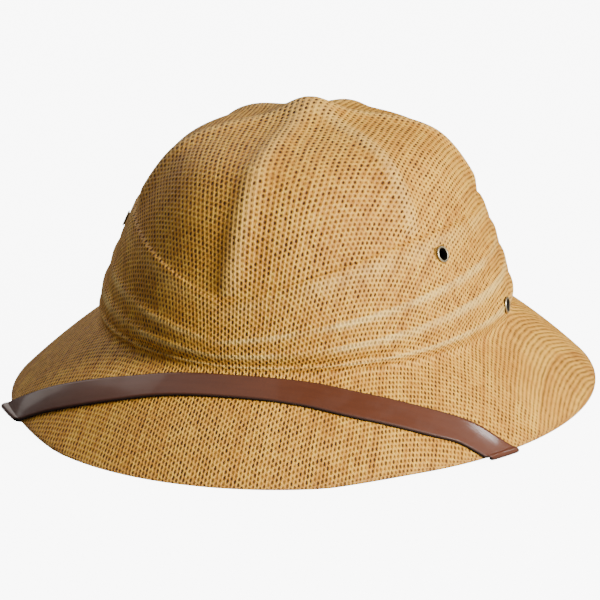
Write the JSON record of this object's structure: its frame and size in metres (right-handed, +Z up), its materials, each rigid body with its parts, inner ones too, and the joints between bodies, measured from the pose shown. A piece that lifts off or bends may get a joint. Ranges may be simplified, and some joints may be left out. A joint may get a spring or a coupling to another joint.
{
  "type": "straw safari hat",
  "caption": "Pressed straw safari hat with a ribbed dome, a pleated scarf band, vent eyelets, a sloping brim and a brown leather chin strap over the brim.",
  "frame": {"origin": "under the apex, in the plane that the rim rests on", "axes": "+Z up through the apex, -Y out of the front of the hat, over which the chin strap lies, +X to the right seen from the front"},
  "size_m": [0.2864, 0.343, 0.1494],
  "materials": {
    "straw": "woven straw, pressed and lightly varnished",
    "eyelet_metal": "antique, satin",
    "strap_leather": "glossy brown face, black back"
  },
  "bodies": {
    "root": {"shell": "straw", "eyelet_upper_right": "eyelet_metal", "eyelet_upper_left": "eyelet_metal", "eyelet_lower_right": "eyelet_metal", "eyelet_lower_left": "eyelet_metal", "chin_strap": "strap_leather"}
  },
  "joints": []
}
